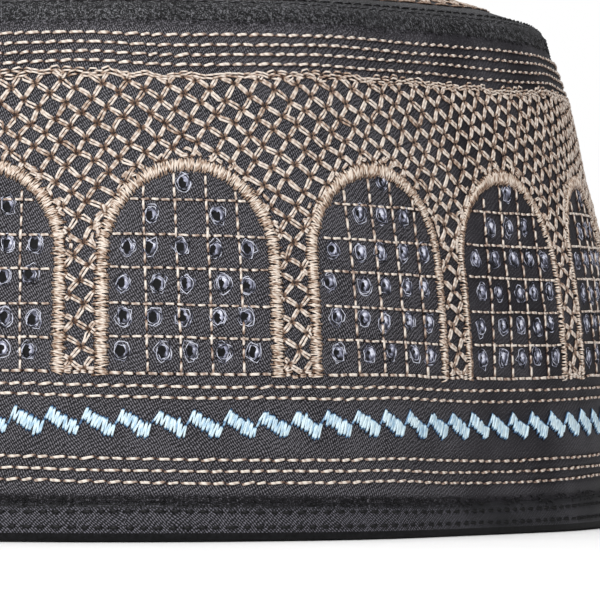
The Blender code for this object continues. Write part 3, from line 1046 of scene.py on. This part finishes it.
uprights = []
levels = []
feet = []
for number in range(ARCH_COUNT):
    at = FIRST_ARCH_AT + ARCH_PITCH * number + ARCH_SHIFTS.get(number, 0.0)
    for aside in GRID_RUNS:
        top = ARCH_SPRING + math.sqrt(INNER_EDGE**2 - aside**2)
        lean = rng.normal(GRID_LEANS.get(number, -0.45), 0.12)
        foot = GRID_FEET.get(number, 0.2)
        uprights.append(([at + aside + foot, GRID_FOOT], [at + aside + lean, top]))
    for height in GRID_HEIGHTS:
        reach = math.sqrt(INNER_EDGE**2 - max(height - ARCH_SPRING, 0) ** 2)
        drop = rng.normal(0, 0.08, 2) + [0.1, -0.15]
        levels.append(([at - reach, height + drop[0]], [at + reach, height + drop[1]]))
    feet.append(([at - INNER_EDGE, GRID_FOOT], [at + INNER_EDGE, GRID_FOOT]))
upright_starts, upright_ends = np.array(uprights).transpose(1, 0, 2)
level_starts, level_ends = np.array(levels).transpose(1, 0, 2)
foot_starts, foot_ends = np.array(feet).transpose(1, 0, 2)
grid = [
    dashes(upright_starts, upright_ends, 2.0, 0.24, 0.28),
    dashes(level_starts, level_ends, 1.7, 0.24, 0.26),
    dashes(foot_starts, foot_ends, 1.9, 0.30, 0.34),
]
add_threads("arch_grid_stitches", grid, tan_rayon)


# Zigzag
# Groups of pale blue rayon stitches below the arches. In each the needle goes up and down while it
# steps down to the right, and a thin strand climbs to the next group.
MOTIF_COUNT = 107
FIRST_GROUP_AT = -16.28
GROUP_WIDTH = 3.95
ZIGZAG_TOPS = 9
blue_rayon = embroidery_thread(
    "pale_blue_rayon_thread",
    [(0.0, "#0f1630"), (0.3, "#446790"), (0.6, "#8fb6d2"), (1.0, "#d8ecf4")],
    0.4,
)
motif_pitch = GIRTH / MOTIF_COUNT
motif = np.arange(MOTIF_COUNT)[:, None]


def zigzag_tips(steps, aside, top, fall, curl):
    """The needle holes along one edge of every group, at steps from 0 at its left to 1 at its right."""
    run = FIRST_GROUP_AT + motif * motif_pitch + steps * GROUP_WIDTH + aside
    height = top - steps * fall + curl
    shape = (MOTIF_COUNT, len(steps))
    return run + rng.normal(0, 0.09, shape), height + rng.normal(0, 0.17, shape)


step = np.arange(ZIGZAG_TOPS) / (ZIGZAG_TOPS - 1)
low_step = (np.arange(ZIGZAG_TOPS + 1) - 0.5) / (ZIGZAG_TOPS - 1)
top_run, top_height = zigzag_tips(step, 0.0, 20.15, 2.15, 0.1 * np.exp(-step / 0.1))
bottom_run, bottom_height = zigzag_tips(low_step, -0.8, 18.0, 2.6, 0.35 * np.exp((low_step - 1) / 0.1))
tops = np.stack([top_run, top_height], -1)
bottoms = np.stack([bottom_run, bottom_height], -1)
climb_from = tops[:, -1] - [0.0, 0.3]
climb_to = np.roll(tops[:, 0], -1, axis=0)
climb_to[-1, 0] += GIRTH


def shaded_bed():
    """A flat bed under each group in the thread's darkest blue: painted shade, seen between the stitches and
    at their tips.
    """
    t = np.array([0.0, 0.35, 0.7, 1.0])
    middle = (tops + bottoms[:, :-1]) / 2
    at = middle[:, :1] + (middle[:, -1:] - middle[:, :1]) * t[:, None]
    points, normals = wall_place(at[..., 0], at[..., 1], 0.02)
    return threads(points, normals, 0.84 + 0.3 * t, 0.09, -0.1, 0.0)


zigzag = [shaded_bed(), strands(climb_from, climb_to, 0.2, 0.2, 0.0, 0.5)]
for side, feet_at in ((-0.05, bottoms[:, :-1]), (0.05, bottoms[:, 1:])):
    tips_at = (tops + [side, 0.0]).reshape(-1, 2) + rng.normal(0, 0.05, (MOTIF_COUNT * ZIGZAG_TOPS, 2))
    zigzag.append(strands(feet_at.reshape(-1, 2), tips_at, 0.22, 0.34, -0.1, 1.02, dive=0.19, tip=0.45))
add_threads("blue_zigzag", zigzag, blue_rayon)


# Black seam stitches
# Polyester thread: two dotted rows through the folded hem, short crossing strands over the seams at
# the hem and at the crown, and the two quilting rows of the crown.
HEM_STITCHES = 262
HEM_STITCH_OUT = 0.38
QUILT_STITCHES = 205
BLACK_RAMP = [(0.0, "#040405"), (0.5, "#0d0d0f"), (1.0, "#2b2b2f")]
black_polyester = embroidery_thread("black_polyester_thread", BLACK_RAMP, 0.55, 0.2, 0.3)
# A paler copy of the black thread, for the crown's stitches.
PALER_BLACK_RAMP = [(0.0, "#060607"), (0.5, "#141416"), (1.0, "#5a5a5f")]
paler_black_polyester = embroidery_thread("black_polyester_thread_paler", PALER_BLACK_RAMP, 0.6, 0.2, 0.3, 0.5)


def hem_row(height):
    """The place of a dash row at a height of the hem."""
    def place(run, aside, lift):
        angle = angle_at(run)
        reach = plan_radius(angle) + HEM_STITCH_OUT + waves(run, height) + lift
        points = plan_point(angle, reach, height + aside - sag_at(angle, height))
        return points, vectors(np.sin(angle), -np.cos(angle), 0.0)
    return place


def crown_row(share):
    """The place of a dash row where the crown's plan has shrunk to share."""
    def place(run, aside, lift):
        points = on_dome(run, share - aside / 90, lift)
        return points, np.zeros_like(points) + UPWARDS
    return place


def tangle(count, low, high, lift):
    """Short crossing strands of an overlocked seam, between two heights of the wall."""
    half_width = 0.1
    run = rng.uniform(0, GIRTH, count)
    height = rng.uniform(low, high, count)
    heading = rng.choice([-1.0, 1.0], count) * rng.uniform(0.1, 0.9, count)
    reach = rng.uniform(0.2, 0.45, count)[:, None] * np.array([-1.0, 0.0, 1.0])
    path_run = run[:, None] + reach * np.cos(heading)[:, None]
    path_height = height[:, None] + reach * np.sin(heading)[:, None]
    path_lift = lift(path_height) + np.array([0.0, 1.0, 0.0]) * rng.uniform(0.05, 0.2, count)[:, None]
    points = on_wall(path_run, path_height, path_lift)
    normals = wall_normal(path_run, path_height)
    half = half_width * np.array([0.5, 1.0, 0.5]) * rng.uniform(0.7, 1.3, count)[:, None]
    shade = rng.uniform(0.0, 1.1, count)[:, None] * np.array([0.5, 1.0, 0.5])
    return threads(points, normals, half, half, shade, rng.normal(0, 1, count), sides=3)


def hem_lift(height):
    """How far the hem's fold stands off the wall."""
    return np.where(height < HEM_HEIGHT, 0.42, 0.42 * np.exp(-np.clip(height - HEM_HEIGHT, 0, None) / 0.4))


def roll_lift(height):
    """How far the crown's rolled edge stands off the wall."""
    return np.interp(height, [BAND_TOP - 1, BAND_TOP, BAND_TOP + 1, BAND_TOP + 2.2], [0.0, 0.25, 0.35, 0.0])


hem_lifts = [-0.25, -0.25, -0.12, 0.25, -0.12, -0.25]
hem_widths = [0.08, 0.12, 0.2, 0.40, 0.2, 0.12]
hem_shades = [0.0, 0.0, 0.1, 0.3, 0.1, 0.0]
seam_rows = [dash_row(hem_row(h), HEM_STITCHES, hem_lifts, hem_widths, hem_shades, 0.04) for h in (2.2, 4.6)]
quilt_lifts = [-0.1, 0.0, 0.18, 0.24, 0.18, 0.0]
quilt_widths = [0.08, 0.13, 0.2, 0.22, 0.2, 0.13]
quilt_shades = [0.2, 0.45, 0.9, 1.1, 0.9, 0.45]
quilt_rows = [
    dash_row(crown_row(share), QUILT_STITCHES, quilt_lifts, quilt_widths, quilt_shades)
    for share in QUILT_SHARES
]
add_threads("hem_stitches", seam_rows, black_polyester)
add_threads("crown_quilting_stitches", quilt_rows, paler_black_polyester)
hem_seam = add_threads("hem_seam_overlock", [tangle(1400, 5.5, 7.0, hem_lift)], black_polyester)
crown_seam = add_threads("crown_seam_overlock", [tangle(2300, 78.9, 81.2, roll_lift)], paler_black_polyester)


# Studio
# A plain pale floor under soft light: a broad key lamp from the front left, a weaker one overhead and
# a pale surround that is brighter on the left.
def pale_stage(name, colour_hex):
    material = new_finish(name)
    place = add_node(material, "TexCoord")["Object"]
    mottle = add_node(material, "TexNoise", {"Vector": place, "Scale": 40.0, "Detail": 4.0})["Fac"]
    ramp = [(0.3, colour_hex), (0.7, "#ffffff")]
    colour = add_node(material, "ValToRGB", {"Fac": mottle}, ramp=ramp)["Color"]
    set_surface(material, 0.9, 0.5, {"Base Color": colour})
    return material


floor_mesh = bpy.data.meshes.new("floor")
floor_mesh.from_pydata([(-6, -6, 0), (6, -6, 0), (6, 6, 0), (-6, 6, 0)], [], [(0, 1, 2, 3)])
floor = add_piece("floor", floor_mesh, pale_stage("matt_white_floor", "#fbfbfb"))
floor.location = (0, 0, -0.0001)


def area_lamp(name, place, aim, size, power):
    lamp = bpy.data.lights.new(name, "AREA")
    lamp.shape = "SQUARE"
    lamp.size = size
    lamp.energy = power
    item = bpy.data.objects.new(name, lamp)
    item.location = place
    heading = [b - a for a, b in zip(place, aim)]
    item.rotation_mode = "QUATERNION"
    item.rotation_quaternion = Vector(heading).to_track_quat("-Z", "Y")
    bpy.context.scene.collection.objects.link(item)


area_lamp("key_lamp", (-0.19, -1.3, 0.8), (0, 0, 0.05), 0.6, 14.6)
area_lamp("top_lamp", (0.2, 0.1, 1.5), (0, 0, 0.05), 1.2, 8.0)

world = bpy.data.worlds.new("studio")
bpy.context.scene.world = world
world.use_nodes = True
sky = add_node(world, "TexCoord")["Generated"]
sideways = add_node(world, "SeparateXYZ", {0: sky})["X"]
fall_off = {"Value": sideways, "From Min": -0.6, "From Max": 0.9, "To Min": 0.68, "To Max": 0.14}
side_light = add_node(world, "MapRange", fall_off)["Result"]
seen = add_node(world, "LightPath")["Is Camera Ray"]
strength = add_node(world, "Mix", {"Factor": seen, "A": side_light, "B": 1.0})["Result"]
feed(world, world.node_tree.nodes["Background"], {"Strength": strength, "Color": (1, 1, 1, 1)})
bpy.context.scene.view_settings.view_transform = "Standard"


# Camera
# A long lens level with the cap's lower part, turned a little to its right.
camera_data = bpy.data.cameras.new("camera")
camera_data.lens = 300.0
camera_data.sensor_width = 36.0
camera_data.clip_start = 0.05
camera_data.clip_end = 50.0
camera = bpy.data.objects.new("camera", camera_data)
camera.location = (0.00376, -0.84985, 0.0249)
camera.rotation_euler = (math.radians(90.868), 0.0, math.radians(-1.718))
bpy.context.scene.collection.objects.link(camera)
bpy.context.scene.camera = camera
